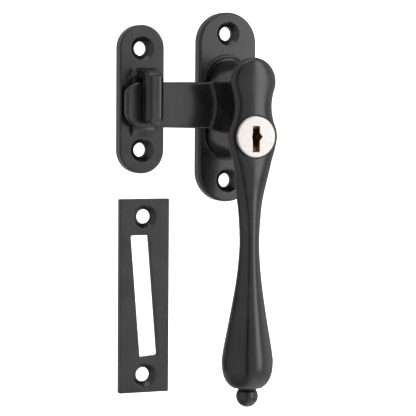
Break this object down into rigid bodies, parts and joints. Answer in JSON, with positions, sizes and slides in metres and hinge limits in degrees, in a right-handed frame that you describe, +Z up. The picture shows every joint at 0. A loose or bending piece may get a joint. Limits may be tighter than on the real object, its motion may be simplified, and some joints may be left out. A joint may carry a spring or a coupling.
{
  "type": "casement window fastener",
  "caption": "Black locking casement window fastener with a pear-ended handle, a drum with a flat tongue, a key lock, a hook keep and a slotted mortice keep.",
  "frame": {"origin": "where the spindle's axis meets the back plate's rear plane, which is the face of the window's stile", "axes": "+X to the right as the room sees it, +Y into the window, +Z up"},
  "size_m": [0.0534, 0.0344, 0.1435],
  "materials": {
    "black_coat": "black powder coat, satin gloss",
    "nickel": "satin nickel plate",
    "brass": "machined brass",
    "steel": "zinc-plated steel",
    "spring_steel": "tempered spring steel",
    "bronze": "plain bronze bearing"
  },
  "bodies": {
    "plate": {"backplate": "black_coat", "thrust_washer": "bronze", "spring_washer": "spring_steel"},
    "lever": {"drum": "black_coat", "handle": "black_coat", "spindle": "steel", "circlip": "spring_steel", "retaining_washer": "steel", "lock_barrel": "brass", "barrel_screw": "steel"},
    "plug": {"lock_plug": "brass", "lock_face": "nickel", "plug_clip": "spring_steel", "drive_pin": "steel", "wafer_spring_1": "spring_steel", "wafer_spring_2": "spring_steel", "wafer_spring_3": "spring_steel", "wafer_spring_4": "spring_steel"},
    "bolt": {"lock_bolt": "steel"},
    "hook": {"hook_keep": "black_coat"},
    "mortice": {"mortice_keep": "black_coat"},
    "wafer_1": {"wafer_1": "brass"},
    "wafer_2": {"wafer_2": "brass"},
    "wafer_3": {"wafer_3": "brass"},
    "wafer_4": {"wafer_4": "brass"}
  },
  "joints": [
    {"name": "handle_turn", "type": "hinge", "parent": "plate", "child": "lever", "pos_m": [0, 0, 0], "axis": [0, -1, 0], "range_deg": [0, 90]},
    {"name": "plug_turn", "type": "hinge", "parent": "lever", "child": "plug", "pos_m": [0, -0.0292, -0.0102], "axis": [0, -1, 0], "range_deg": [-90, 0]},
    {"name": "bolt_slide", "type": "slide", "parent": "lever", "child": "bolt", "axis": [0, -1, 0], "range_m": [-0.0034, 0]},
    {"name": "hook_keep_slide", "type": "slide", "parent": "plate", "child": "hook", "axis": [-1, 0, 0], "range_m": [0, 0.02]},
    {"name": "mortice_keep_slide", "type": "slide", "parent": "plate", "child": "mortice", "axis": [-1, 0, 0], "range_m": [0, 0.02]},
    {"name": "wafer_slide_1", "type": "slide", "parent": "plug", "child": "wafer_1", "axis": [0, 0, -1], "range_m": [-0.0006, 0], "deforming": ["wafer_spring_1"]},
    {"name": "wafer_slide_2", "type": "slide", "parent": "plug", "child": "wafer_2", "axis": [0, 0, -1], "range_m": [-0.0006, 0], "deforming": ["wafer_spring_2"]},
    {"name": "wafer_slide_3", "type": "slide", "parent": "plug", "child": "wafer_3", "axis": [0, 0, -1], "range_m": [-0.0006, 0], "deforming": ["wafer_spring_3"]},
    {"name": "wafer_slide_4", "type": "slide", "parent": "plug", "child": "wafer_4", "axis": [0, 0, -1], "range_m": [-0.0006, 0], "deforming": ["wafer_spring_4"]}
  ],
  "couplings": [
    {"joint": "plug_turn", "follows": "bolt_slide", "rad_per_m": 462}
  ]
}
